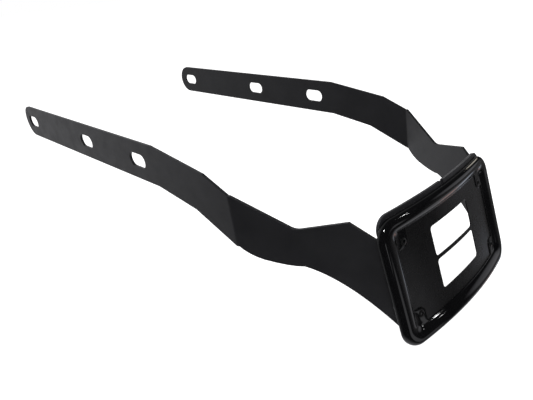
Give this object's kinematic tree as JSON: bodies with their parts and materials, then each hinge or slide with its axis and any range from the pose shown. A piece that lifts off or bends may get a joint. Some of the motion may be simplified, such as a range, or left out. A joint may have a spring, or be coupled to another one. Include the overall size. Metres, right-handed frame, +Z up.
{
  "type": "tail tidy",
  "caption": "Rear number-plate carrier for a motorcycle: folded side arms with slotted bolt holes hold a curved, tilted frame with a backing sheet behind its lip.",
  "frame": {"origin": "centre of the plate frame's opening, midway through its lip", "axes": "+X to the bike's right, +Y to the bike's front along the arms, +Z up"},
  "size_m": [0.305, 0.6579, 0.1571],
  "materials": {
    "arm_paint": "satin black powder coat",
    "frame_gloss": "glossy black",
    "backing_paint": "satin black",
    "screw_black": "black oxide",
    "nut_steel": "plain zinc-plated"
  },
  "bodies": {
    "root": {"left_arm": "arm_paint", "right_arm": "arm_paint", "plate_frame": "frame_gloss", "backing_plate": "backing_paint", "plate_screws": "screw_black", "plate_nuts": "nut_steel"}
  },
  "joints": []
}
